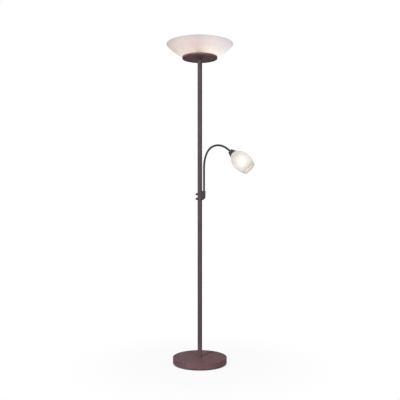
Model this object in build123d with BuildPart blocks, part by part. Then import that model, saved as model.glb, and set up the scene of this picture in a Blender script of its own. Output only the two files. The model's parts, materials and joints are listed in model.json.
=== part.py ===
from build123d import *
from math import cos, radians, sin, sqrt
import os

# A reading floor lamp: a weighted round base, a pole made of three tubes, an uplighter with a glass
# bowl on top, and a gooseneck reading lamp on a bracket half way up.
# Millimetres, +Z up, floor at Z = 0, pole on the Z axis, reading arm towards +X, switches towards -X.

# Fits
slip_gap = 0.05
seat_gap = 0.3

# Base
base_radius = 154
base_height = 35
base_sheet = 1.2
base_edge_round = 3
base_hem_round = 5
foot_height = 4
foot_radius = 9
foot_count = 6
foot_inset = 18
foot_first_angle = 25
bottom_plate_thickness = 1.5
weight_play = 0.8
washer_radius = 18
washer_thickness = 2
nut_room = 4
gland_bore = 3.5
gland_wall = 2
gland_flange = 4
gland_flange_thickness = 1.5
gland_height = 20

# Pole
pole_radius = 13
pole_wall = 1.2
pole_top = 1724
lower_joint_height = 620
upper_joint_height = 1190
coupler_length = 60
coupler_wall = 3
plug_length = 24

# Hollow M10 threads and their locknuts
thread_radius = 5
thread_bore = 3.5
locknut_flats = 15
locknut_thickness = 4

# Uplighter
dish_radius = 98
dish_height = 6
dish_skirt = 3
dish_sheet = 1.2
dish_edge_round = 0.5
gasket_thickness = 1.8
gasket_inner_radius = 60
gasket_outer_radius = 84
bowl_foot_radius = 89.5
bowl_rim_radius = 187
bowl_rise = 73
bowl_glass = 4
bowl_foot_slope = 30
bowl_rim_slope = 55
uplight_shell_radius = 19.8
uplight_holder_length = 43
uplight_ring_radius = 29
uplight_cap_radius = 13.2
uplight_cap_length = 25

# Switches
switch_height = 953.5
switch_spacing = 26
switch_body_width = 12
switch_body_height = 16
switch_bush_radius = 4.5
switch_collar_radius = 8
switch_collar_rise = 2
switch_nut_flats = 13
switch_nut_thickness = 2.5
shaft_radius = 3
knob_radius = 5.75
knob_length = 7.1
knob_roof = 1.5
knob_edge_round = 1.5
knob_flutes = 14
knob_flute_radius = 0.7

# Arm bracket, placed from the switches' height
bracket_rise = 31
bracket_drop = 20.5
bracket_web = 13
sleeve_radius = 8.5
bracket_nipple_radius = 4
bracket_nipple_bore = 2.75
bracket_nut_flats = 11
bracket_nut_thickness = 3.5

# Gooseneck: a root in the bracket, an upright run and an arch, each cut into equal lengths
neck_offset = 26
neck_radius = 5
neck_bore = 2.6
neck_root_depth = 26
neck_root_rise = 6
upright_count = 4
upright_length = 31.2
arch_length = 31.3
arch_turns = (9, 8.5, 16, 26, 26, 21.5, 17.5, 6.5)
ball_gap = 0.3
lead_radius = 2.2
lead_bend = 6.5

# Reading head, measured along its own axis from the back of the cup
cup_back_radius = 15
cup_front_radius = 23.5
cup_straight = 3
cup_length = 23.5
cup_sheet = 1.2
shade_start = 22
shade_neck_radius = 19
shade_widest_at = 92
shade_radius = 50.5
shade_length = 149.5
shade_mouth_radius = 36.5
shade_glass = 3
reading_shell_radius = 13.75
reading_shoulder_radius = 17.5
reading_shoulder_width = 3
reading_holder_length = 50
reading_ring_radius = 19
reading_cap_radius = 6.9
reading_cap_length = 24

# Both lampholders, shade rings and golf-ball bulbs
holder_taper = 8
ring_height = 6
shade_hole_play = 0.8
contact_thickness = 1
bulb_radius = 22.5
bulb_length = 55
bulb_glass = 1
bulb_neck_step = 1
bulb_neck_angle = 120

os.makedirs("parts", exist_ok=True)


def save(piece, name):
    piece.part.label = name
    export_step(piece.part, f"parts/{name}.step")


def level(height):
    return Plane(origin=(0, 0, height), z_dir=(0, 0, 1))


def lamp_frame(origin, direction):
    """A sketch plane with X along the lamp's axis and Y across it."""
    return Plane(origin=origin, x_dir=direction, z_dir=(0, 1, 0))


def across(frame, at):
    """The plane square to a lamp frame's X axis, at a distance along it."""
    return Plane(origin=frame.from_local_coords((at, 0, 0)), z_dir=frame.x_dir)


def tube(seat, outer, inner, length):
    with BuildPart() as piece:
        with BuildSketch(seat):
            Circle(outer)
            Circle(inner, mode=Mode.SUBTRACT)
        extrude(amount=length)
    return piece


def rod(seat, radius, length):
    with BuildPart() as piece:
        with BuildSketch(seat):
            Circle(radius)
        extrude(amount=length)
    return piece


def drum(bottom, radius, height, edge_round, hem_round):
    """A flat drum with a rounded upper and a rounded lower edge."""
    with BuildPart() as piece:
        with BuildSketch(level(bottom)):
            Circle(radius)
        extrude(amount=height)
        fillet(piece.edges().group_by(Axis.Z)[-1], edge_round)
        fillet(piece.edges().group_by(Axis.Z)[0], hem_round)
    return piece.part


def locknut(seat, flats, bore, thickness):
    with BuildPart() as piece:
        with BuildSketch(seat):
            RegularPolygon(flats / 2, 6, major_radius=False)
            Circle(bore, mode=Mode.SUBTRACT)
        extrude(amount=thickness)
    return piece


def turned(frame, outline):
    """A solid of revolution about the frame's X axis."""
    with BuildPart() as piece:
        with BuildSketch(frame):
            with BuildLine():
                Polyline(*outline, close=True)
            make_face()
        revolve(axis=Axis(frame.origin, frame.x_dir))
    return piece


def holder_outline(start, length, shell, cap_radius, cap_length, shoulder=()):
    """A lampholder's section: threaded hole, outer shell with its shoulder, well for the bulb cap."""
    hole = thread_radius + slip_gap
    well = cap_radius + seat_gap
    end = start + length
    floor = end - cap_length - contact_thickness
    return [
        (start, hole),
        (start, shell - holder_taper / 3),
        (start + holder_taper, shell),
        *shoulder,
        (end, shell),
        (end, well),
        (floor, well),
        (floor, hole),
    ]


def contact_disc(frame, floor):
    return rod(across(frame, floor), thread_radius + 1.2, contact_thickness)


def bulb_cap(frame, end, radius, length):
    tip = end - length
    taper = radius * 0.45
    outline = [(tip, 0), (tip, radius - taper), (tip + taper, radius), (end, radius), (end, 0)]
    return turned(frame, outline)


def bulb_glass_shell(frame, start, cap_radius):
    """A golf-ball bulb: a ball drawn into a neck by a tangent arc, open where the cap closes it."""
    centre = start + bulb_length - bulb_radius
    angle = radians(bulb_neck_angle)
    neck = cap_radius - bulb_neck_step
    inside = bulb_radius - bulb_glass
    with BuildPart() as piece:
        with BuildSketch(frame):
            with BuildLine():
                meet = (centre + bulb_radius * cos(angle), bulb_radius * sin(angle))
                crown = (centre + bulb_radius * cos(angle / 2), bulb_radius * sin(angle / 2))
                meet_inside = (centre + inside * cos(angle), inside * sin(angle))
                crown_inside = (centre + inside * cos(angle / 2), inside * sin(angle / 2))
                back = (-sin(angle), cos(angle))
                TangentArc(meet, (start, neck), tangent=back)
                ThreePointArc(meet, crown, (centre + bulb_radius, 0))
                Line((centre + bulb_radius, 0), (centre + inside, 0))
                ThreePointArc((centre + inside, 0), crown_inside, meet_inside)
                TangentArc(meet_inside, (start, neck - bulb_glass), tangent=back)
                Line((start, neck - bulb_glass), (start, neck))
            make_face()
        revolve(axis=Axis(frame.origin, frame.x_dir))
    return piece


def ball_end(frame):
    """A bored half ball that stands on the frame's origin, for the next length to turn on."""
    reach = sqrt(neck_radius**2 - neck_bore**2)
    with BuildPart() as piece:
        with BuildSketch(frame):
            with BuildLine():
                Line((0, neck_bore), (0, neck_radius))
                RadiusArc((0, neck_radius), (reach, neck_bore), neck_radius)
                Line((reach, neck_bore), (0, neck_bore))
            make_face()
        revolve(axis=Axis(frame.origin, frame.x_dir))
    return piece.part


def neck_tube(start, heading, end, turn):
    """A bored, straight or bent tube, hollowed at its start for the ball it turns on."""
    with BuildPart() as piece:
        with BuildLine():
            if turn == 0:
                Line(start, end)
            else:
                TangentArc(start, end, tangent=heading)
        with BuildSketch(Plane(origin=start, z_dir=heading)):
            Circle(neck_radius)
            Circle(neck_bore, mode=Mode.SUBTRACT)
        sweep()
        with Locations(start):
            Sphere(neck_radius + ball_gap, mode=Mode.SUBTRACT)
    return piece.part


# Heights and radii that several pieces share
bracket_top = switch_height + bracket_rise
bracket_bottom = switch_height - bracket_drop
base_bottom = foot_height
base_top = base_bottom + base_height
plate_top = base_bottom + bottom_plate_thickness
weight_top = base_top - base_sheet
pole_bore = pole_radius - pole_wall
plug_radius = pole_bore - slip_gap

# Base: cover, weight, bottom plate, feet, stud fastening and the mains lead's gland
gland_hole = gland_bore + gland_wall
gland_axis = Plane(origin=(0, 0, gland_height), x_dir=(1, 0, 0), z_dir=(0, 1, 0))

hem_opening = base_radius - base_hem_round
inner_height = base_height - 2 * base_sheet
inner_edge = base_edge_round - base_sheet
inner_hem = base_hem_round - base_sheet
with BuildPart() as base_cover:
    add(drum(base_bottom, base_radius, base_height, base_edge_round, base_hem_round))
    hollow = drum(base_bottom + base_sheet, base_radius - base_sheet, inner_height, inner_edge, inner_hem)
    add(hollow, mode=Mode.SUBTRACT)
    with BuildSketch(level(base_bottom)):
        Circle(hem_opening)
    extrude(amount=2 * base_sheet, mode=Mode.SUBTRACT)
    with BuildSketch(level(base_top)):
        Circle(thread_radius + slip_gap)
    extrude(amount=-2 * base_sheet, mode=Mode.SUBTRACT)
    with BuildSketch(gland_axis):
        Circle(gland_hole + slip_gap)
    extrude(amount=2 * base_radius, mode=Mode.SUBTRACT)
save(base_cover, "base_cover")

weight_radius = base_radius - base_sheet - weight_play
pocket_radius = washer_radius + nut_room
pocket_top = plate_top + nut_room + locknut_thickness + washer_thickness
channel_width = 2 * (gland_hole + gland_flange + seat_gap)
channel_top = gland_height + channel_width / 2
with BuildPart() as base_weight:
    add(drum(plate_top, weight_radius, weight_top - plate_top, base_edge_round, base_hem_round))
    with BuildSketch(level(weight_top)):
        Circle(thread_radius + seat_gap)
    extrude(amount=-base_height, mode=Mode.SUBTRACT)
    with BuildSketch(level(plate_top)):
        Circle(pocket_radius)
    extrude(amount=pocket_top - plate_top, mode=Mode.SUBTRACT)
    with BuildSketch(level(plate_top)):
        with Locations((0, base_radius / 2 + pocket_radius / 2)):
            Rectangle(channel_width, base_radius)
    extrude(amount=channel_top - plate_top, mode=Mode.SUBTRACT)
save(base_weight, "base_weight")

bottom_plate_radius = hem_opening - seat_gap
save(rod(level(base_bottom), bottom_plate_radius, bottom_plate_thickness), "base_bottom_plate")

# A ring of feet, and one in the middle that holds the bottom plate up under the weight
with BuildPart() as base_feet:
    with BuildSketch(level(0)):
        Circle(foot_radius)
        with PolarLocations(base_radius - foot_inset, foot_count, start_angle=foot_first_angle):
            Circle(foot_radius)
    extrude(amount=foot_height)
    chamfer(base_feet.edges().group_by(Axis.Z)[0], foot_height / 5)
save(base_feet, "base_feet")

washer_level = pocket_top - washer_thickness
nut_level = washer_level - locknut_thickness
save(tube(level(washer_level), washer_radius, thread_radius + slip_gap, washer_thickness), "stud_washer")
save(locknut(level(nut_level), locknut_flats, thread_radius + slip_gap, locknut_thickness), "stud_nut")

with BuildPart() as gland:
    with BuildSketch(gland_axis.offset(base_radius - base_sheet - seat_gap - gland_flange_thickness)):
        Circle(gland_hole + gland_flange)
    extrude(amount=gland_flange_thickness)
    with BuildSketch(gland_axis.offset(base_radius - base_sheet - seat_gap)):
        Circle(gland_hole)
    extrude(amount=base_sheet + seat_gap + slip_gap)
    with BuildSketch(gland_axis.offset(base_radius + slip_gap)):
        Circle(gland_hole + gland_flange)
    extrude(amount=gland_flange_thickness)
    with BuildSketch(gland_axis):
        Circle(gland_bore)
    extrude(amount=2 * base_radius, mode=Mode.SUBTRACT)
save(gland, "cord_gland")

# Pole: foot plug with its stud, three tubes, two couplers, top plug and nipple
with BuildPart() as foot_plug:
    with BuildSketch(level(base_top)):
        Circle(plug_radius)
    extrude(amount=plug_length)
    with BuildSketch(level(base_top)):
        Circle(thread_radius)
    extrude(amount=nut_level - nut_room / 2 - base_top)
    with BuildSketch(level(base_top + plug_length)):
        Circle(thread_bore)
    extrude(amount=-2 * base_top, mode=Mode.SUBTRACT)
save(foot_plug, "pole_foot_plug")

save(tube(level(base_top), pole_radius, pole_bore, lower_joint_height - base_top), "pole_lower_tube")
upper_length = pole_top - upper_joint_height
save(tube(level(upper_joint_height), pole_radius, pole_bore, upper_length), "pole_upper_tube")

switch_levels = {
    "uplight": switch_height + switch_spacing / 2,
    "reading": switch_height - switch_spacing / 2,
}

with BuildPart() as pole_middle:
    with BuildSketch(level(lower_joint_height)):
        Circle(pole_radius)
        Circle(pole_bore, mode=Mode.SUBTRACT)
    extrude(amount=upper_joint_height - lower_joint_height)
    for height in switch_levels.values():
        with BuildSketch(Plane(origin=(0, 0, height), z_dir=(-1, 0, 0))):
            Circle(switch_bush_radius + slip_gap)
        extrude(amount=2 * pole_radius, mode=Mode.SUBTRACT)
    with BuildSketch(Plane(origin=(0, 0, switch_height), z_dir=(1, 0, 0))):
        Circle(bracket_nipple_radius + slip_gap)
    extrude(amount=2 * pole_radius, mode=Mode.SUBTRACT)
save(pole_middle, "pole_middle_tube")

for name, joint_height in {"lower": lower_joint_height, "upper": upper_joint_height}.items():
    seat = level(joint_height - coupler_length / 2)
    save(tube(seat, plug_radius, plug_radius - coupler_wall, coupler_length), f"pole_{name}_coupler")

top_plug_seat = level(pole_top - plug_length)
save(tube(top_plug_seat, plug_radius, thread_radius + slip_gap, plug_length), "pole_top_plug")

# Uplighter, measured up from the top of the pole
uplight = lamp_frame((0, 0, pole_top), (0, 0, 1))
uplight_start = dish_sheet + locknut_thickness
uplight_end = uplight_start + uplight_holder_length
uplight_floor = uplight_end - uplight_cap_length - contact_thickness
bowl_seat = dish_sheet + gasket_thickness
bowl_hole = uplight_shell_radius + shade_hole_play
nipple_length = plug_length + (uplight_start + uplight_floor) / 2

save(tube(top_plug_seat, thread_radius, thread_bore, nipple_length), "top_nipple")

with BuildPart() as dish:
    with BuildSketch(level(pole_top - dish_skirt)):
        Circle(dish_radius)
    extrude(amount=dish_skirt + dish_height)
    fillet(dish.edges().group_by(Axis.Z)[0], dish_edge_round)
    with BuildSketch(level(pole_top - dish_skirt)):
        Circle(dish_radius - dish_sheet)
    extrude(amount=dish_skirt, mode=Mode.SUBTRACT)
    with BuildSketch(level(pole_top + dish_sheet)):
        Circle(dish_radius - dish_sheet)
    extrude(amount=dish_height, mode=Mode.SUBTRACT)
    with BuildSketch(level(pole_top)):
        Circle(thread_radius + slip_gap)
    extrude(amount=dish_height, mode=Mode.SUBTRACT)
save(dish, "dish_plate")

dish_top = level(pole_top + dish_sheet)
save(locknut(dish_top, locknut_flats, thread_radius + slip_gap, locknut_thickness), "dish_nut")
save(tube(dish_top, gasket_outer_radius, gasket_inner_radius, gasket_thickness), "bowl_gasket")

foot_slope = radians(bowl_foot_slope)
rim_slope = radians(bowl_rim_slope)
bowl_run = bowl_rim_radius - bowl_foot_radius
bend_run = (bowl_rise - bowl_run * sin(rim_slope) / cos(rim_slope)) / (
    sin(foot_slope) / cos(foot_slope) - sin(rim_slope) / cos(rim_slope)
)
bowl_foot = Vector(bowl_seat, bowl_foot_radius)
bowl_bend = bowl_foot + Vector(bend_run * sin(foot_slope) / cos(foot_slope), bend_run)
bowl_rim = bowl_foot + Vector(bowl_rise, bowl_run)
bend_slope = (foot_slope + rim_slope) / 2
bowl_bend_inside = bowl_bend + Vector(cos(bend_slope), -sin(bend_slope)) * bowl_glass
bowl_rim_inside = bowl_rim - Vector(0, bowl_glass / sin(rim_slope))
floor_corner = Vector(bowl_seat + bowl_glass, bowl_foot_radius - bowl_glass * sin(foot_slope))
with BuildPart() as bowl:
    with BuildSketch(uplight):
        with BuildLine():
            Bezier(bowl_foot, bowl_bend, bowl_rim)
            Line(bowl_rim, bowl_rim_inside)
            Bezier(bowl_rim_inside, bowl_bend_inside, floor_corner)
            Polyline(
                floor_corner,
                (bowl_seat + bowl_glass, bowl_hole),
                (bowl_seat, bowl_hole),
                bowl_foot,
            )
        make_face()
    revolve(axis=Axis.Z)
save(bowl, "glass_bowl")

uplight_outline = holder_outline(
    uplight_start, uplight_holder_length, uplight_shell_radius, uplight_cap_radius, uplight_cap_length
)
ring_seat = across(uplight, bowl_seat + bowl_glass)
ring_hole = uplight_shell_radius + slip_gap
save(turned(uplight, uplight_outline), "uplight_lampholder")
save(tube(ring_seat, uplight_ring_radius, ring_hole, ring_height), "uplight_shade_ring")
save(contact_disc(uplight, uplight_floor), "uplight_contact")
save(bulb_cap(uplight, uplight_end, uplight_cap_radius, uplight_cap_length), "uplight_bulb_cap")
save(bulb_glass_shell(uplight, uplight_end, uplight_cap_radius), "uplight_bulb_glass")

# Switches: bodies inside the pole, collars and nuts outside, turning shafts and knobs
nut_corner = bracket_nut_flats / 2 / cos(radians(30))
bracket_nut_face = sqrt(pole_bore**2 - nut_corner**2) - slip_gap
body_front = sqrt(pole_bore**2 - (switch_body_width / 2) ** 2) - seat_gap
body_back = bracket_nut_face - bracket_nut_thickness - 2 * seat_gap
collar_face = pole_radius + switch_collar_rise
bush_end = collar_face + switch_nut_thickness + seat_gap
knob_face = bush_end + seat_gap
knob_tip = knob_face + knob_length
shaft_start = (body_front + pole_radius) / 2 - seat_gap
shaft_end = knob_tip - knob_roof

for lamp, height in switch_levels.items():
    outward = Plane(origin=(0, 0, height), x_dir=(0, 1, 0), z_dir=(-1, 0, 0))
    with BuildPart() as switch_body:
        with BuildSketch(outward.offset(-body_back)):
            Rectangle(switch_body_width, switch_body_height)
        extrude(amount=body_back + body_front)
        with BuildSketch(outward.offset(body_front)):
            Circle(switch_bush_radius)
        extrude(amount=bush_end - body_front)
        with BuildSketch(outward.offset(shaft_start - seat_gap)):
            Circle(shaft_radius + slip_gap)
        extrude(amount=bush_end, mode=Mode.SUBTRACT)
    save(switch_body, f"{lamp}_switch_body")

    save(rod(outward.offset(shaft_start), shaft_radius, shaft_end - shaft_start), f"{lamp}_switch_shaft")

    with BuildPart() as knob:
        with BuildSketch(outward.offset(knob_face)):
            Circle(knob_radius)
        extrude(amount=knob_length)
        fillet(knob.edges().sort_by(Axis.X)[0], knob_edge_round)
        with BuildSketch(outward.offset(knob_face)):
            with PolarLocations(knob_radius + knob_flute_radius / 3, knob_flutes):
                Circle(knob_flute_radius)
        extrude(amount=knob_length, mode=Mode.SUBTRACT)
        with BuildSketch(outward.offset(knob_face)):
            Circle(shaft_radius + slip_gap)
        extrude(amount=shaft_end - knob_face, mode=Mode.SUBTRACT)
        with BuildSketch(outward.offset(knob_tip)):
            with Locations((0, knob_radius / 2)):
                Rectangle(knob_flute_radius, knob_radius)
        extrude(amount=-knob_flute_radius / 2, mode=Mode.SUBTRACT)
    save(knob, f"{lamp}_switch_knob")

with BuildPart() as switch_collars:
    for height in switch_levels.values():
        with BuildSketch(Plane(origin=(-pole_bore / 2, 0, height), z_dir=(-1, 0, 0))):
            Circle(switch_collar_radius)
            Circle(switch_bush_radius + slip_gap, mode=Mode.SUBTRACT)
        extrude(amount=collar_face - pole_bore / 2)
    with BuildSketch(level(bracket_bottom - pole_radius)):
        Circle(pole_radius + slip_gap)
    extrude(amount=switch_height, mode=Mode.SUBTRACT)
save(switch_collars, "switch_collars")

with BuildPart() as switch_nuts:
    for height in switch_levels.values():
        with BuildSketch(Plane(origin=(-collar_face, 0, height), z_dir=(-1, 0, 0))):
            RegularPolygon(switch_nut_flats / 2, 6, major_radius=False)
            Circle(switch_bush_radius + slip_gap, mode=Mode.SUBTRACT)
        extrude(amount=switch_nut_thickness)
save(switch_nuts, "switch_nuts")

lead_start = switch_levels["uplight"] + switch_body_height / 2
save(rod(level(lead_start), lead_radius, pole_top + uplight_floor - lead_start), "uplight_lead")

# Arm bracket and the hollow nipple that holds it to the pole
root_bottom = bracket_top - neck_root_depth
elbow_level = bracket_bottom + sleeve_radius
elbow_start = Vector(neck_offset, 0, elbow_level + neck_offset - pole_radius)
elbow_end = Vector(pole_radius, 0, elbow_level)
with BuildPart() as bracket:
    with BuildLine():
        Line((neck_offset, 0, bracket_top), elbow_start)
        TangentArc(elbow_start, elbow_end, tangent=(0, 0, -1))
        Line(elbow_end, (0, 0, elbow_level))
    with BuildSketch(level(bracket_top)):
        with Locations((neck_offset, 0)):
            Circle(sleeve_radius)
    sweep()
    with BuildSketch(level(elbow_level)):
        with Locations((neck_offset / 2, 0)):
            Rectangle(neck_offset, bracket_web)
    extrude(amount=bracket_top - elbow_level)
    with BuildSketch(level(bracket_bottom - pole_radius)):
        Circle(pole_radius + slip_gap)
    extrude(amount=switch_height, mode=Mode.SUBTRACT)
    with BuildSketch(level(root_bottom)):
        with Locations((neck_offset, 0)):
            Circle(neck_radius + slip_gap)
    extrude(amount=bracket_top, mode=Mode.SUBTRACT)
    with BuildSketch(level(switch_height)):
        with Locations((neck_offset, 0)):
            Circle(bracket_nipple_radius)
    extrude(amount=root_bottom - switch_height, mode=Mode.SUBTRACT)
    with BuildSketch(Plane(origin=(0, 0, switch_height), z_dir=(1, 0, 0))):
        Circle(bracket_nipple_radius + slip_gap)
    extrude(amount=neck_offset, mode=Mode.SUBTRACT)
save(bracket, "arm_bracket")

nipple_start = bracket_nut_face - bracket_nut_thickness - seat_gap
nipple_end = neck_offset - lead_bend - seat_gap
nipple_seat = Plane(origin=(nipple_start, 0, switch_height), z_dir=(1, 0, 0))
nut_seat = nipple_seat.offset(seat_gap)
nut_bore = bracket_nipple_radius + slip_gap
nipple = tube(nipple_seat, bracket_nipple_radius, bracket_nipple_bore, nipple_end - nipple_start)
save(nipple, "bracket_nipple")
save(locknut(nut_seat, bracket_nut_flats, nut_bore, bracket_nut_thickness), "bracket_nut")

# Gooseneck: the route's points and headings, from the root to the back of the cup
lengths = [upright_length] * upright_count + [arch_length] * len(arch_turns)
turns = [0] * upright_count + list(arch_turns)
points = [Vector(neck_offset, 0, bracket_top + neck_root_rise)]
headings = [Vector(0, 0, 1)]
lean = 0
for length, turn in zip(lengths, turns):
    chord = length if turn == 0 else 2 * length / radians(turn) * sin(radians(turn) / 2)
    middle = radians(lean + turn / 2)
    points.append(points[-1] + Vector(sin(middle), 0, cos(middle)) * chord)
    lean += turn
    headings.append(Vector(sin(radians(lean)), 0, cos(radians(lean))))

with BuildPart() as neck_root:
    with BuildSketch(Plane(origin=(neck_offset, 0, root_bottom), z_dir=(0, 0, 1))):
        Circle(neck_radius)
        Circle(neck_bore, mode=Mode.SUBTRACT)
    extrude(amount=neck_root_depth + neck_root_rise)
    add(ball_end(lamp_frame(points[0], headings[0])))
save(neck_root, "gooseneck_root")

for number, turn in enumerate(turns):
    following = number + 1
    with BuildPart() as neck_length:
        add(neck_tube(points[number], headings[number], points[following], turn))
        if following < len(turns):
            add(ball_end(lamp_frame(points[following], headings[following])))
    save(neck_length, f"gooseneck_{following:02d}")

# Reading head, measured from the end of the gooseneck along its heading
head = lamp_frame(points[-1], headings[-1])
reading_start = cup_sheet + locknut_thickness
reading_end = reading_start + reading_holder_length
reading_floor = reading_end - reading_cap_length - contact_thickness
end_nipple_length = (reading_start + reading_floor) / 2

save(tube(across(head, 0), thread_radius, neck_bore, end_nipple_length), "head_nipple")
head_nut_seat = across(head, cup_sheet)
save(locknut(head_nut_seat, locknut_flats, thread_radius + slip_gap, locknut_thickness), "head_nut")

cup_outline = [
    (0, thread_radius + slip_gap),
    (0, cup_back_radius),
    (cup_straight, cup_back_radius),
    (cup_length, cup_front_radius),
    (cup_length, cup_front_radius - cup_sheet),
    (cup_straight, cup_back_radius - cup_sheet),
    (cup_sheet, cup_back_radius - cup_sheet),
    (cup_sheet, thread_radius + slip_gap),
]
save(turned(head, cup_outline), "head_cup")

shoulder_outline = [
    (shade_start - reading_shoulder_width, reading_shell_radius),
    (shade_start - reading_shoulder_width, reading_shoulder_radius),
    (shade_start, reading_shoulder_radius),
    (shade_start, reading_shell_radius),
]
reading_outline = holder_outline(
    reading_start,
    reading_holder_length,
    reading_shell_radius,
    reading_cap_radius,
    reading_cap_length,
    shoulder_outline,
)
reading_ring_seat = across(head, shade_start + shade_glass)
reading_ring_hole = reading_shell_radius + slip_gap
save(turned(head, reading_outline), "reading_lampholder")
save(tube(reading_ring_seat, reading_ring_radius, reading_ring_hole, ring_height), "reading_shade_ring")
save(contact_disc(head, reading_floor), "reading_contact")
save(bulb_cap(head, reading_end, reading_cap_radius, reading_cap_length), "reading_bulb_cap")
save(bulb_glass_shell(head, reading_end, reading_cap_radius), "reading_bulb_glass")

shade_hole = reading_shell_radius + shade_hole_play
inner_start = shade_start + shade_glass
with BuildPart() as shade:
    with BuildSketch(head):
        with BuildLine():
            widest = Vector(shade_widest_at, shade_radius)
            widest_inside = Vector(shade_widest_at, shade_radius - shade_glass)
            mouth = Vector(shade_length, shade_mouth_radius)
            mouth_inside = Vector(shade_length, shade_mouth_radius - shade_glass)
            TangentArc(widest, (shade_start, shade_neck_radius), tangent=(-1, 0))
            Polyline(
                (shade_start, shade_neck_radius),
                (shade_start, shade_hole),
                (inner_start, shade_hole),
                (inner_start, shade_neck_radius),
            )
            TangentArc(widest_inside, (inner_start, shade_neck_radius), tangent=(-1, 0))
            TangentArc(widest_inside, mouth_inside, tangent=(1, 0))
            Line(mouth_inside, mouth)
            TangentArc(widest, mouth, tangent=(1, 0))
        make_face()
    revolve(axis=Axis(head.origin, head.x_dir))
    mouth_edges = shade.edges().filter_by(GeomType.CIRCLE).sort_by(Axis(head.origin, head.x_dir))[-2:]
    fillet(mouth_edges, shade_glass / 3)
save(shade, "reading_shade")

# The reading lamp's wire: through the bracket's nipple, up the gooseneck and into the lampholder
bend_start = Vector(neck_offset - lead_bend, 0, switch_height)
bend_end = Vector(neck_offset, 0, switch_height + lead_bend)
with BuildPart() as reading_lead:
    with BuildLine():
        Line((nipple_start, 0, switch_height), bend_start)
        TangentArc(bend_start, bend_end, tangent=(1, 0, 0))
        Line(bend_end, points[upright_count])
        for number in range(upright_count, len(lengths)):
            TangentArc(points[number], points[number + 1], tangent=headings[number])
        Line(points[-1], head.from_local_coords((reading_floor, 0, 0)))
    with BuildSketch(Plane(origin=(nipple_start, 0, switch_height), z_dir=(1, 0, 0))):
        Circle(lead_radius)
    sweep()
save(reading_lead, "reading_lead")
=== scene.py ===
import json
from math import asin, ceil, cos, pi, radians, sin

import bpy
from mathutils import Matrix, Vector

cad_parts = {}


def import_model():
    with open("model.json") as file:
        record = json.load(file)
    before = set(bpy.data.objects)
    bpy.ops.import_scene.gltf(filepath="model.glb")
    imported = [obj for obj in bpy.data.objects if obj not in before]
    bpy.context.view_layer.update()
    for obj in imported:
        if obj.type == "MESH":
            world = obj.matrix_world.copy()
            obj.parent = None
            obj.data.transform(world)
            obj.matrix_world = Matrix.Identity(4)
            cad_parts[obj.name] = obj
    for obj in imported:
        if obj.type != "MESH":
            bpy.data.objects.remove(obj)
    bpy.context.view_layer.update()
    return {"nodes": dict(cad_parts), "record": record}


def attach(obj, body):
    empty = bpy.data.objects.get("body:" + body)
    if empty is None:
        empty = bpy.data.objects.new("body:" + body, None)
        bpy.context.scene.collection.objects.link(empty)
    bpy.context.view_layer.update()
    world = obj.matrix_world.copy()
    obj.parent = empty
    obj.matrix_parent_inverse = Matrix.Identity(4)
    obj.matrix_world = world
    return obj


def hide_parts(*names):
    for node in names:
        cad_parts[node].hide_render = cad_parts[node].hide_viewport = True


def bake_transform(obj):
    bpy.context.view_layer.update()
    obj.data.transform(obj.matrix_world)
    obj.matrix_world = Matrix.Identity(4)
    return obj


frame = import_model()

scene = bpy.context.scene
scene.view_settings.view_transform = "Standard"

# Places taken over from the solids, in metres
BASE_TOP = 0.039
POLE_TOP = 1.724
BOWL_HEIGHT = 0.076
NECK_FOOT = Vector((0.026, 0, 0.9905))
UPRIGHT_LENGTHS = 4
UPRIGHT_LENGTH = 0.0312
ARCH_LENGTH = 0.0313
ARCH_TURNS = (9, 8.5, 16, 26, 26, 21.5, 17.5, 6.5)
HEAD_ANGLE = radians(sum(ARCH_TURNS))
HEAD_AXIS = Vector((sin(HEAD_ANGLE), 0, cos(HEAD_ANGLE)))
UPLIGHT_BASE = Vector((0, 0, POLE_TOP))
UPLIGHT_GLOW = (0, 0, 1.817)
READING_GLOW = (0.2621, 0, 1.1327)
READING_MOUTH = (0.2974, 0, 1.1019)
UP = Vector((0, 0, 1))
ACROSS = Vector((0, 1, 0))

BLACK = (0, 0, 0)
WHITE = (1, 1, 1)


# Materials: helpers


def set_inputs(made, inputs):
    for key, value in inputs.items():
        made.inputs[key].default_value = value


def material(name, inputs):
    """A new material with its shader's plain inputs set: the material, its tree, its shader."""
    made = bpy.data.materials.new(name)
    made.use_nodes = True
    shader = made.node_tree.nodes["Principled BSDF"]
    set_inputs(shader, inputs)
    return made, made.node_tree, shader


def node(tree, kind, inputs=None, **settings):
    made = tree.nodes.new(kind)
    for key, value in settings.items():
        setattr(made, key, value)
    set_inputs(made, inputs or {})
    return made


def noise(tree, scale, detail=4.0, rough=0.55, distortion=0.0):
    """A noise value in the part's own coordinates."""
    place = node(tree, "ShaderNodeTexCoord")
    inputs = {"Scale": scale, "Detail": detail, "Roughness": rough, "Distortion": distortion}
    made = node(tree, "ShaderNodeTexNoise", inputs)
    tree.links.new(place.outputs["Object"], made.inputs["Vector"])
    return made.outputs["Fac"]


def ramp(tree, value, stops):
    made = node(tree, "ShaderNodeValToRGB")
    points = made.color_ramp.elements
    while len(points) < len(stops):
        points.new(0.5)
    for point, (at, colour) in zip(points, stops):
        point.position = at
        point.color = (*colour, 1)
    tree.links.new(value, made.inputs["Fac"])
    return made.outputs["Color"]


def spread(tree, value, low, high, first=0.3, last=0.7):
    """Runs from low to high while value runs from first to last."""
    inputs = {"From Min": first, "From Max": last, "To Min": low, "To Max": high}
    made = node(tree, "ShaderNodeMapRange", inputs)
    tree.links.new(value, made.inputs["Value"])
    return made.outputs["Result"]


def bump(tree, shader, value, strength, depth):
    made = node(tree, "ShaderNodeBump", {"Strength": strength, "Distance": depth})
    tree.links.new(value, made.inputs["Height"])
    tree.links.new(made.outputs["Normal"], shader.inputs["Normal"])


def tinted(tree, first, second):
    inputs = {"Factor": 1.0}
    made = node(tree, "ShaderNodeMix", inputs, data_type="RGBA", blend_type="MULTIPLY")
    tree.links.new(first, made.inputs["A"])
    tree.links.new(second, made.inputs["B"])
    return made.outputs["Result"]


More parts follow.
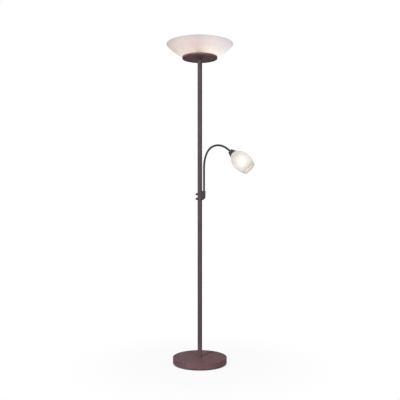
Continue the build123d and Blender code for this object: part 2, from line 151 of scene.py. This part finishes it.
def combined(tree, operation, first, second):
    made = node(tree, "ShaderNodeMath", operation=operation)
    tree.links.new(first, made.inputs[0])
    tree.links.new(second, made.inputs[1])
    return made.outputs[0]


def fading(tree, centre, reach, stops):
    """Colours that change with the distance from a point, over a nearer and a farther reach."""
    place = node(tree, "ShaderNodeTexCoord")
    away = node(tree, "ShaderNodeVectorMath", {1: centre}, operation="DISTANCE")
    tree.links.new(place.outputs["Object"], away.inputs[0])
    return ramp(tree, spread(tree, away.outputs["Value"], 0, 1, *reach), stops)


# Materials: finishes
SMEAR_SCALE = 2.7
# The side of the bowl that is painted lighter, as if lit from there
PAINTED_LIGHT_SIDE = (0.906, 0.423, 0)
BOWL_REACH = 0.18


def finish_surface(name, colours, rough, cloud, grain, relief, metal=0.0, specular=0.5):
    """A solid finish: clouded colour, uneven gloss and a fine grain."""
    inputs = {"Metallic": metal, "Specular IOR Level": specular}
    made, tree, shader = material(name, inputs)
    low, high = colours
    middle = tuple((a + b) / 2 for a, b in zip(low, high))
    colour = ramp(tree, noise(tree, cloud), ((0.32, low), (0.5, middle), (0.68, high)))
    tree.links.new(colour, shader.inputs["Base Color"])
    smears = noise(tree, cloud * SMEAR_SCALE, detail=6)
    tree.links.new(spread(tree, smears, *rough), shader.inputs["Roughness"])
    bump(tree, shader, noise(tree, grain, detail=2), *relief)
    return made


def rust_paint(name, colours):
    look = dict(rough=(0.58, 0.7), cloud=22, grain=900, relief=(0.12, 0.0002), specular=0.06)
    return finish_surface(name, colours, **look)


def paint_light_at_end(paint, height, reach, lift):
    """Painted light: lightens the pole's paint towards one of its ends, against the shade that the
    dish or the base casts there.
    """
    tree = paint.node_tree
    colour = tree.nodes["Principled BSDF"].inputs["Base Color"]
    stops = ((0.0, (lift, lift, lift)), (1.0, WHITE))
    share = fading(tree, (0, 0, height), reach, stops)
    tree.links.new(tinted(tree, colour.links[0].from_socket, share), colour)


def alabaster():
    """Clouded glass with a painted glow from inside: painted bright at its foot, painted greyer at
    its rim, painted light on one side.
    """
    inputs = {"Emission Strength": 1.0, "Transmission Weight": 0.3, "IOR": 1.2}
    made, tree, shader = material("alabaster_glass", inputs)
    place = node(tree, "ShaderNodeTexCoord")
    parts = node(tree, "ShaderNodeSeparateXYZ")
    tree.links.new(place.outputs["Object"], parts.inputs["Vector"])
    rise = spread(tree, parts.outputs["Z"], 0, 1, POLE_TOP, POLE_TOP + BOWL_HEIGHT)
    side = node(tree, "ShaderNodeVectorMath", {1: PAINTED_LIGHT_SIDE}, operation="DOT_PRODUCT")
    tree.links.new(place.outputs["Object"], side.inputs[0])
    turn = spread(tree, side.outputs["Value"], 0, 1, -BOWL_REACH, BOWL_REACH)

    clouds = noise(tree, scale=14, detail=5, rough=0.6, distortion=1.2)
    veins = ramp(
        tree,
        clouds,
        ((0.3, (0.93, 0.91, 0.92)), (0.5, (1.0, 0.99, 0.98)), (0.7, (1.0, 1.0, 0.98))),
    )
    # Painted shade: the colour greys from the foot up to the rim, away from the light inside
    body = ((0.1, (0.69, 0.60, 0.565)), (0.7, (0.66, 0.56, 0.535)), (0.97, (0.50, 0.455, 0.45)))
    tree.links.new(tinted(tree, ramp(tree, rise, body), veins), shader.inputs["Base Color"])

    # Painted glow by height, with painted light on one side, painted shade on the other side and a
    # painted shadow of the holder across the middle
    light = ((0.1, (0.56, 0.53, 0.48)), (0.5, (0.33, 0.31, 0.33)), (0.97, (0.21, 0.22, 0.25)))
    side_light_and_shade = (
        (0.03, (0.40, 0.36, 0.31)),
        (0.2, (0.67, 0.57, 0.47)),
        (0.47, (0.33, 0.22, 0.19)),
        (0.67, (0.92, 0.93, 0.86)),
        (0.88, (1.08, 1.08, 1.13)),
    )
    glow = tinted(tree, ramp(tree, rise, light), ramp(tree, turn, side_light_and_shade))
    tree.links.new(tinted(tree, glow, veins), shader.inputs["Emission Color"])
    gloss = spread(tree, noise(tree, scale=60), low=0.42, high=0.5)
    tree.links.new(gloss, shader.inputs["Roughness"])
    bump(tree, shader, noise(tree, scale=90, detail=2), strength=0.06, depth=0.0006)
    return made


def frosted():
    """Frosted glass with a painted glow, most near the bulb and least at its mouth, and painted
    shade darkening it towards the mouth.
    """
    inputs = {"Emission Strength": 0.42, "Transmission Weight": 0.22, "IOR": 1.12}
    made, tree, shader = material("frosted_glass", inputs)
    clouds = noise(tree, scale=30, detail=5, rough=0.6, distortion=0.6)
    body = ramp(
        tree,
        clouds,
        ((0.3, (0.43, 0.405, 0.395)), (0.55, (0.45, 0.43, 0.415)), (0.75, (0.47, 0.455, 0.44))),
    )
    # Painted shade: colour and glow darken near the mouth, where the inside of the shade shows dim
    mouth_shade = ((0.0, (0.84, 0.78, 0.76)), (1.0, WHITE))
    mouth = fading(tree, READING_MOUTH, (0.036, 0.05), mouth_shade)
    tree.links.new(tinted(tree, body, mouth), shader.inputs["Base Color"])
    gloss = spread(tree, noise(tree, scale=120), low=0.7, high=0.8)
    tree.links.new(gloss, shader.inputs["Roughness"])
    fall = ((0.0, (1.0, 0.98, 0.92)), (0.5, (0.80, 0.765, 0.72)), (1.0, (0.67, 0.61, 0.59)))
    glow = fading(tree, READING_GLOW, (0.05, 0.07), fall)
    tree.links.new(tinted(tree, glow, mouth), shader.inputs["Emission Color"])
    return made


def clear_inside(name, colours):
    """The thin, mostly clear inner face of a glass, under its clouded or frosted outer face."""
    made, tree, shader = material(name, {"Specular IOR Level": 0.1, "Alpha": 0.2})
    colour = ramp(tree, noise(tree, scale=25), ((0.35, colours[0]), (0.65, colours[1])))
    tree.links.new(colour, shader.inputs["Base Color"])
    gloss = spread(tree, noise(tree, scale=80), low=0.42, high=0.5)
    tree.links.new(gloss, shader.inputs["Roughness"])
    return made


def bulb(name, colours, centre, strength):
    """Opal glass that glows round a point near the bulb's crown and dims towards its cap."""
    made, tree, shader = material(name, {"Emission Strength": strength})
    clouds = noise(tree, scale=45, detail=3)
    colour = ramp(tree, clouds, ((0.35, colours[0]), (0.65, colours[1])))
    tree.links.new(colour, shader.inputs["Base Color"])
    gloss = spread(tree, noise(tree, scale=150), low=0.18, high=0.26)
    tree.links.new(gloss, shader.inputs["Roughness"])
    fall = ((0.0, (1.0, 0.96, 0.86)), (1.0, (0.28, 0.24, 0.19)))
    glow = fading(tree, centre, (0.024, 0.042), fall)
    tree.links.new(glow, shader.inputs["Emission Color"])
    return made


FINISHES = {
    "black_neck": dict(
        colours=((0.012, 0.011, 0.011), (0.020, 0.018, 0.018)),
        rough=(0.42, 0.55), cloud=60, grain=1400, relief=(0.12, 0.0001), specular=0.2,
    ),
    "black_steel": dict(
        colours=((0.020, 0.020, 0.021), (0.032, 0.031, 0.031)),
        rough=(0.5, 0.65), cloud=18, grain=700, relief=(0.2, 0.0002),
    ),
    "concrete": dict(
        colours=((0.36, 0.35, 0.33), (0.50, 0.49, 0.46)),
        rough=(0.8, 0.95), cloud=40, grain=500, relief=(0.6, 0.0008),
    ),
    "zinc_steel": dict(
        colours=((0.50, 0.51, 0.52), (0.62, 0.62, 0.60)),
        rough=(0.25, 0.4), cloud=90, grain=1200, relief=(0.1, 0.0001), metal=1.0,
    ),
    "black_rubber": dict(
        colours=((0.016, 0.016, 0.016), (0.028, 0.027, 0.026)),
        rough=(0.65, 0.85), cloud=70, grain=900, relief=(0.3, 0.0002),
    ),
    "felt": dict(
        colours=((0.16, 0.16, 0.17), (0.25, 0.25, 0.25)),
        rough=(0.9, 1.0), cloud=250, grain=1600, relief=(0.7, 0.0006),
    ),
    "black_plastic": dict(
        colours=((0.018, 0.018, 0.019), (0.030, 0.029, 0.029)),
        rough=(0.3, 0.45), cloud=50, grain=1100, relief=(0.12, 0.0001),
    ),
    "knob_plastic": dict(
        colours=((0.017, 0.015, 0.015), (0.028, 0.025, 0.025)),
        rough=(0.35, 0.5), cloud=80, grain=1300, relief=(0.12, 0.0001),
    ),
    "brass": dict(
        colours=((0.62, 0.44, 0.16), (0.74, 0.56, 0.24)),
        rough=(0.22, 0.36), cloud=120, grain=1500, relief=(0.1, 0.0001), metal=1.0,
    ),
    "cap_metal": dict(
        colours=((0.72, 0.72, 0.73), (0.82, 0.82, 0.81)),
        rough=(0.18, 0.3), cloud=120, grain=1500, relief=(0.1, 0.0001), metal=1.0,
    ),
    "lead_jacket": dict(
        colours=((0.70, 0.70, 0.68), (0.78, 0.78, 0.75)),
        rough=(0.35, 0.5), cloud=60, grain=1200, relief=(0.1, 0.0001),
    ),
}
MATERIALS = {name: finish_surface(name, **look) for name, look in FINISHES.items()}
MATERIALS["rust_paint"] = rust_paint("rust_paint", ((0.140, 0.076, 0.081), (0.166, 0.093, 0.098)))
MATERIALS["alabaster_glass"] = alabaster()
MATERIALS["frosted_glass"] = frosted()
MATERIALS["opal_glass"] = bulb(
    "opal_glass", ((0.62, 0.58, 0.53), (0.70, 0.66, 0.61)), UPLIGHT_GLOW, strength=0.35
)
MATERIALS["lit_glass"] = bulb(
    "lit_glass", ((0.72, 0.68, 0.62), (0.80, 0.76, 0.70)), READING_GLOW, strength=1.5
)

# Painted shade: the narrow tubes and castings get darker copies of the rust paint than the broad
# base and dish, for how the light falls on them
shaded_tube_paint = rust_paint("rust_paint_tube_shaded", ((0.076, 0.055, 0.061), (0.093, 0.066, 0.073)))
# Painted light on the pole's paint near the dish and near the base, lifting the shade there
paint_light_at_end(shaded_tube_paint, POLE_TOP, reach=(0.013, 0.028), lift=2.2)
paint_light_at_end(shaded_tube_paint, BASE_TOP, reach=(0.02, 0.1), lift=1.5)
shaded_cast_paint = rust_paint("rust_paint_cast_shaded", ((0.054, 0.040, 0.043), (0.068, 0.049, 0.053)))
SHADED_NARROW_PAINTS = {
    "pole_lower_tube": shaded_tube_paint,
    "pole_middle_tube": shaded_tube_paint,
    "pole_upper_tube": shaded_tube_paint,
    "arm_bracket": shaded_cast_paint,
    "head_cup": shaded_cast_paint,
}

for part in frame["record"]["subparts"]:
    shown = frame["nodes"][part["node"]]
    for place in shown.material_slots:
        place.material = SHADED_NARROW_PAINTS.get(part["node"], MATERIALS[part["material_slot"]])


# Shapes: helpers


def new_piece(name, vertices, faces, slot, sharp):
    mesh = bpy.data.meshes.new(name)
    mesh.from_pydata([tuple(v) for v in vertices], [], faces)
    mesh.validate()
    mesh.materials.append(MATERIALS[slot])
    mesh.shade_smooth()
    mesh.set_sharp_from_angle(angle=radians(sharp))
    made = bpy.data.objects.new(name, mesh)
    scene.collection.objects.link(made)
    return made


def band(first, second, sides):
    """Faces between two rings of points, each ring given by the index of its first point."""
    faces = []
    for step in range(sides):
        after = (step + 1) % sides
        faces.append((first + step, first + after, second + after, second + step))
    return faces


def turned(name, outline, base, axis, slot, segments, shape=None, sharp=40, lining=None):
    """A closed outline of (along, radius) points turned about an axis through base.

    shape may move a radius. lining is a material and the point of the outline where it starts.
    """
    other = axis.cross(ACROSS)
    vertices = []
    for along, radius in outline:
        for step in range(segments):
            angle = 2 * pi * step / segments
            r = shape(along, radius, angle) if shape else radius
            out = ACROSS * cos(angle) + other * sin(angle)
            vertices.append(base + axis * along + out * r)
    count = len(outline)
    faces = []
    for i in range(count):
        faces += band(i * segments, (i + 1) % count * segments, segments)
    made = new_piece(name, vertices, faces, slot, sharp)
    if lining:
        surface, first = lining
        made.data.materials.append(surface)
        for face in made.data.polygons:
            face.material_index = 1 if face.index >= first * segments else 0
    return made


def curve(start, bend, end, steps):
    """Points of a quadratic curve, its end left out."""
    points = []
    for i in range(steps):
        t = i / steps
        shares = ((1 - t) ** 2, 2 * t * (1 - t), t * t)
        corners = zip(start, bend, end)
        points.append(tuple(sum(s * c for s, c in zip(shares, corner)) for corner in corners))
    return points


def arc(centre, radius, first, last, steps):
    """Points of an arc by its angles, its end left out."""
    angles = [first + (last - first) * i / steps for i in range(steps)]
    return [(centre[0] + radius * cos(a), centre[1] + radius * sin(a)) for a in angles]


def tangent_arc(top, end, steps):
    """Points from a crown, where the line runs along the axis, down to end, its end left out."""
    run = abs(end[0] - top[0])
    drop = top[1] - end[1]
    radius = (run * run + drop * drop) / (2 * drop)
    side = 1 if end[0] > top[0] else -1
    angles = [asin(run / radius) * i / steps for i in range(steps)]
    return [(top[0] + side * radius * sin(a), top[1] - radius + radius * cos(a)) for a in angles]


# Uplighter bowl: outside up to the rim, a rounded lip, and down the inside to its hole
BOWL_SEAT = 0.0032
BOWL_BED = 0.007
BOWL_HOLE = 0.0206
FOOT_CORNER = 0.0015
BOWL_LIP = 0.0021
bowl_outside = [(BOWL_SEAT, radius) for radius in (BOWL_HOLE, 0.050, 0.075)]
bowl_outside += arc((BOWL_SEAT + FOOT_CORNER, 0.0880), FOOT_CORNER, pi, pi * 0.66, steps=4)
bowl_outside += curve((0.0040, 0.0899), (0.04795, 0.16736), (0.0745, 0.18610), steps=40)
bowl_outside += arc((0.0737, 0.18415), BOWL_LIP, radians(65), radians(-115), steps=10)
bowl_inside = curve((0.0730, 0.18225), (0.0509, 0.16466), (0.0075, 0.0880), steps=40)
bowl_inside += [(BOWL_BED, radius) for radius in (0.086, 0.070, 0.045, BOWL_HOLE)]
bowl_glaze = clear_inside("alabaster_inside", ((0.97, 0.94, 0.92), (0.99, 0.97, 0.95)))
bowl = turned(
    "bowl",
    bowl_outside + bowl_inside,
    UPLIGHT_BASE,
    UP,
    "alabaster_glass",
    segments=192,
    sharp=50,
    lining=(bowl_glaze, len(bowl_outside)),
)
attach(bowl, "stand")
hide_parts("glass_bowl")


# Gooseneck: a wound sheath laid along the neck at rest; only its last piece is attached to a joint
# body
NECK_RADIUS = 0.0056
NECK_SIDES = 28
WINDING = 0.0026
GROOVE = 0.00035
RINGS_PER_TURN = 8
ROOT_START = -0.0145
ROOT_BLEND = -0.0055
BLEND_INSET = 0.0015


def neck_line(along):
    """Point and heading on the gooseneck's middle line, counted from its first joint."""
    place = NECK_FOOT.copy()
    lean = 0.0
    lengths = [(UPRIGHT_LENGTH, 0.0)] * UPRIGHT_LENGTHS
    lengths += [(ARCH_LENGTH, radians(turn)) for turn in ARCH_TURNS]
    for length, turn in lengths:
        part = min(along, length)
        swing = turn * part / length
        chord = part if swing == 0 else 2 * length / turn * sin(swing / 2)
        middle = lean + swing / 2
        if along <= 0:
            chord, middle, swing = along, lean, 0
        place = place + Vector((sin(middle), 0, cos(middle))) * chord
        lean += swing
        along -= length
        if along <= 0:
            break
    return place, Vector((sin(lean), 0, cos(lean)))


def neck_piece(name, first, last):
    """A stretch of the sheath: its winding runs on from piece to piece."""
    rings = ceil((last - first) / WINDING * RINGS_PER_TURN)
    vertices = []
    for ring in range(rings + 1):
        along = first + (last - first) * ring / rings
        place, heading = neck_line(along)
        other = ACROSS.cross(heading)
        for step in range(NECK_SIDES):
            angle = 2 * pi * step / NECK_SIDES
            phase = (along / WINDING + step / NECK_SIDES) % 1
            depth = GROOVE * abs(2 * phase - 1) ** 3
            out = ACROSS * cos(angle) + other * sin(angle)
            vertices.append(place + out * (NECK_RADIUS - depth))
    faces = []
    for ring in range(rings):
        faces += band(ring * NECK_SIDES, (ring + 1) * NECK_SIDES, NECK_SIDES)
    faces.append(tuple(reversed(range(NECK_SIDES))))
    faces.append(tuple(range(rings * NECK_SIDES, (rings + 1) * NECK_SIDES)))
    return new_piece(name, vertices, faces, "black_neck", sharp=60)


arch_start = UPRIGHT_LENGTHS * UPRIGHT_LENGTH
neck_joints = [i * UPRIGHT_LENGTH for i in range(UPRIGHT_LENGTHS)]
neck_joints += [arch_start + i * ARCH_LENGTH for i in range(len(ARCH_TURNS) + 1)]
neck_end = neck_joints[-1]
middles = [(a + b) / 2 for a, b in zip(neck_joints, neck_joints[1:])]
cuts = [ROOT_START, *middles, neck_end]
bodies = ["stand"] + [f"neck_{i:02d}" for i in range(1, len(neck_joints))]
for i, body in enumerate(bodies):
    piece = neck_piece(f"neck_sheath_{i:02d}", cuts[i], cuts[i + 1])
    if body == bodies[-1]:
        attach(piece, body)
    else:
        start = cuts[i] + BLEND_INSET if i else ROOT_BLEND
        end = cuts[i + 1] - BLEND_INSET
        neck_line(start)[0]
        neck_line(end)[0]
        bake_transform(piece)
    if i:
        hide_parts(f"gooseneck_{i:02d}")
    else:
        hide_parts("gooseneck_root", "reading_lead")


# Reading shade: blown glass, widest past its middle, with a fire-polished mouth
SHADE_GLASS = 0.003
SHADE_SEAT = 0.022
SHADE_BED = SHADE_SEAT + SHADE_GLASS
SHADE_HOLE = 0.01455
SHADE_NECK = 0.019
SHADE_WIDEST = (0.092, 0.0505)
SHADE_MOUTH = (0.1484, 0.0371)
SHADE_LIP = 0.0015
HEAD_BASE = neck_line(neck_end)[0]
inner_widest = (SHADE_WIDEST[0], SHADE_WIDEST[1] - SHADE_GLASS)
inner_mouth = (SHADE_MOUTH[0], SHADE_MOUTH[1] - SHADE_GLASS)
shade_outside = [(SHADE_SEAT, SHADE_HOLE), (SHADE_SEAT, 0.0185)]
shade_outside += reversed(tangent_arc(SHADE_WIDEST, (SHADE_SEAT, SHADE_NECK), steps=24))
shade_outside += tangent_arc(SHADE_WIDEST, SHADE_MOUTH, steps=20)[1:]
shade_outside += arc((0.1480, 0.0356), SHADE_LIP, radians(75), radians(-105), steps=8)
shade_inside = list(reversed(tangent_arc(inner_widest, inner_mouth, steps=20)))
shade_inside += tangent_arc(inner_widest, (SHADE_BED, SHADE_NECK), steps=24)[1:]
shade_inside += [(SHADE_BED, 0.0187), (SHADE_BED, SHADE_HOLE)]
# Painted shade: the reading shade's inner face is coloured dark, for the dimness inside it
darkened_shade_glaze = clear_inside("frosted_inside", ((0.40, 0.37, 0.35), (0.46, 0.43, 0.41)))
shade = turned(
    "shade",
    shade_outside + shade_inside,
    HEAD_BASE,
    HEAD_AXIS,
    "frosted_glass",
    segments=160,
    sharp=50,
    lining=(darkened_shade_glaze, len(shade_outside)),
)
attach(shade, "neck_12")
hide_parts("reading_shade")


# Lampholders and shade rings, with their threads and grips
STUD_HOLE = 0.00505
EDGE = 0.0008
TAPER = 0.0027
TAPER_LENGTH = 0.008
THREAD_PITCH = 0.0025
THREAD_DEPTH = 0.0008
RING_HEIGHT = 0.006
GRIPS = 30
GRIP_DEPTH = 0.0007


def wave(turns):
    """Swings from 0 to 1 and back with each whole turn."""
    return 0.5 - 0.5 * cos(2 * pi * turns)


def lampholder(name, base, axis, start, end, shell, well, bottom, shoulder=()):
    """A moulded holder: tapered back, screw thread outside, a well for the bulb's cap."""
    first = shoulder[-1][0] if shoulder else start + TAPER_LENGTH
    last = end - EDGE
    rings = ceil((last - first) / THREAD_PITCH * RINGS_PER_TURN)

    def cut(along, radius, angle):
        if radius < shell or not first < along < last:
            return radius
        return radius - THREAD_DEPTH * wave(along / THREAD_PITCH + angle / (2 * pi))

    outline = [(start, STUD_HOLE), (start, shell - TAPER), (start + TAPER_LENGTH, shell)]
    outline += shoulder
    outline += [(first + (last - first) * (i + 1) / rings, shell) for i in range(rings)]
    outline += [(end, shell - EDGE), (end, well), (bottom, well), (bottom, STUD_HOLE)]
    return turned(name, outline, base, axis, "black_plastic", segments=96, shape=cut)


def grip_ring(name, base, axis, seat, outer, hole):
    """The ring that clamps a glass to its holder, with a scalloped grip."""
    top = seat + RING_HEIGHT

    def cut(along, radius, angle):
        return radius - GRIP_DEPTH * wave(GRIPS * angle / (2 * pi)) if radius > hole else radius

    outline = [(seat, hole), (seat, outer - EDGE), (seat + EDGE, outer), (top - EDGE, outer)]
    outline += [(top, outer - EDGE), (top, hole)]
    return turned(name, outline, base, axis, "black_plastic", segments=240, shape=cut)


uplight_holder = lampholder(
    "uplight_holder",
    UPLIGHT_BASE,
    UP,
    start=0.0052,
    end=0.0482,
    shell=0.0198,
    well=0.0135,
    bottom=0.0222,
)
uplight_ring = grip_ring("uplight_ring", UPLIGHT_BASE, UP, BOWL_BED, outer=0.029, hole=0.01985)
reading_holder = lampholder(
    "reading_holder",
    HEAD_BASE,
    HEAD_AXIS,
    start=0.0052,
    end=0.0552,
    shell=0.01375,
    well=0.0072,
    bottom=0.0302,
    shoulder=[(0.019, 0.01375), (0.019, 0.0175), (SHADE_SEAT, 0.0175), (SHADE_SEAT, 0.01375)],
)
reading_ring = grip_ring(
    "reading_ring", HEAD_BASE, HEAD_AXIS, SHADE_BED, outer=0.019, hole=0.0138
)
fittings = [
    (uplight_holder, "stand", "uplight_lampholder"),
    (uplight_ring, "stand", "uplight_shade_ring"),
    (reading_holder, "neck_12", "reading_lampholder"),
    (reading_ring, "neck_12", "reading_shade_ring"),
]
for piece, body, stands_for in fittings:
    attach(piece, body)
    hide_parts(stands_for)


# Floor, light and camera
FLOOR_SIZE = 12
FLOOR_COLOUR = (0.55, 0.55, 0.55, 1)
AMBIENT = 0.3
LIGHT_TARGET = Vector((0, 0, 0.9))
LIGHT_DISTANCE = 3.9
LIGHT_SIZE = 0.7
CAMERA_AZIMUTH = radians(25)
CAMERA_DISTANCE = 3.2589
CAMERA_HEIGHT = 0.8888
CAMERA_PITCH = 0.050
FOCAL_LENGTH = 51.81
SENSOR_WIDTH = 36
SHIFT_X = 0.0004
SHIFT_Y = 0.0920
VIEW_LIMIT = 60


def towards(azimuth, distance, height):
    """A place round the lamp: azimuth counted from the front, anticlockwise seen from above."""
    return Vector((distance * sin(azimuth), -distance * cos(azimuth), height))


def area_light(name, azimuth, height, power):
    lamp = bpy.data.lights.new(name, "AREA")
    lamp.shape = "DISK"
    lamp.size = LIGHT_SIZE
    lamp.energy = power
    made = bpy.data.objects.new(name, lamp)
    scene.collection.objects.link(made)
    place = towards(azimuth, LIGHT_DISTANCE, height)
    made.visible_transmission = False
    made.location = place
    made.rotation_euler = (LIGHT_TARGET - place).to_track_quat("-Z", "Y").to_euler()


def background_share(tree):
    """1 for what the camera sees directly, in a reflection or through glass."""
    path = node(tree, "ShaderNodeLightPath")
    rays = path.outputs
    seen = combined(tree, "MAXIMUM", rays["Is Camera Ray"], rays["Is Glossy Ray"])
    return combined(tree, "MAXIMUM", seen, rays["Is Transmission Ray"])


def floor():
    """A pale floor, white to the camera but for the shade at the foot of the base."""
    size = FLOOR_SIZE
    corners = [(-size, -size, 0), (size, -size, 0), (size, size, 0), (-size, size, 0)]
    mesh = bpy.data.meshes.new("floor")
    mesh.from_pydata(corners, [], [(0, 1, 2, 3)])
    inputs = {"Base Color": FLOOR_COLOUR, "Roughness": 0.9, "Specular IOR Level": 0.1}
    surface, tree, shader = material("floor", inputs)
    white = node(tree, "ShaderNodeEmission", {"Strength": 1.0})
    stops = ((0.148, BLACK), (0.157, (0.92, 0.92, 0.92)), (0.8, WHITE))
    fade = fading(tree, centre=(0, 0, 0), reach=(0, 1), stops=stops)
    mix = node(tree, "ShaderNodeMixShader")
    share = combined(tree, "MULTIPLY", background_share(tree), fade)
    tree.links.new(share, mix.inputs["Fac"])
    tree.links.new(shader.outputs[0], mix.inputs[1])
    tree.links.new(white.outputs[0], mix.inputs[2])
    tree.links.new(mix.outputs[0], tree.nodes["Material Output"].inputs["Surface"])
    mesh.materials.append(surface)
    made = bpy.data.objects.new("floor", mesh)
    scene.collection.objects.link(made)


def world():
    """Soft light from all sides, white to the camera."""
    made = bpy.data.worlds.new("studio")
    scene.world = made
    made.use_nodes = True
    tree = made.node_tree
    light = tree.nodes["Background"]
    light.inputs["Color"].default_value = (*WHITE, 1)
    strength = spread(tree, background_share(tree), AMBIENT, 1.0, first=0, last=1)
    tree.links.new(strength, light.inputs["Strength"])


floor()
world()
area_light("key", CAMERA_AZIMUTH - radians(35), height=2.3, power=120)
area_light("fill", CAMERA_AZIMUTH + radians(27), height=2.2, power=60)

lens = bpy.data.cameras.new("camera")
lens.sensor_width = SENSOR_WIDTH
lens.lens = FOCAL_LENGTH
lens.shift_x = SHIFT_X
lens.shift_y = SHIFT_Y
lens.clip_end = VIEW_LIMIT
camera = bpy.data.objects.new("camera", lens)
scene.collection.objects.link(camera)
camera.location = towards(CAMERA_AZIMUTH, CAMERA_DISTANCE, CAMERA_HEIGHT)
camera.rotation_euler = (pi / 2 - CAMERA_PITCH, 0, CAMERA_AZIMUTH)
scene.camera = camera
